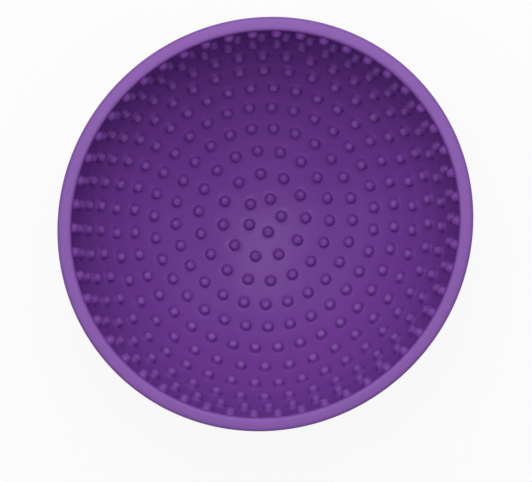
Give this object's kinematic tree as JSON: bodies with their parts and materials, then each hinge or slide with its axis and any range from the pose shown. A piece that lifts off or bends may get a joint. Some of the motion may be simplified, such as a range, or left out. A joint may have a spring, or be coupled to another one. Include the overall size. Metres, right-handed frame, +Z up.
{
  "type": "wobble slow feeder bowl",
  "caption": "Round-bottomed soft rubber pet bowl that rocks as it is licked, with rings of small domed nubs all over its inside that slow the eating.",
  "frame": {"origin": "middle of the flat foot under the bowl, where it stands", "axes": "+Z up out of the open mouth along the bowl's axis; +X is the picture's right and +Y its top"},
  "size_m": [0.166, 0.166, 0.078],
  "materials": {
    "soft_rubber": "satin moulded soft rubber, purple"
  },
  "bodies": {
    "root": {"bowl": "soft_rubber"}
  },
  "joints": []
}
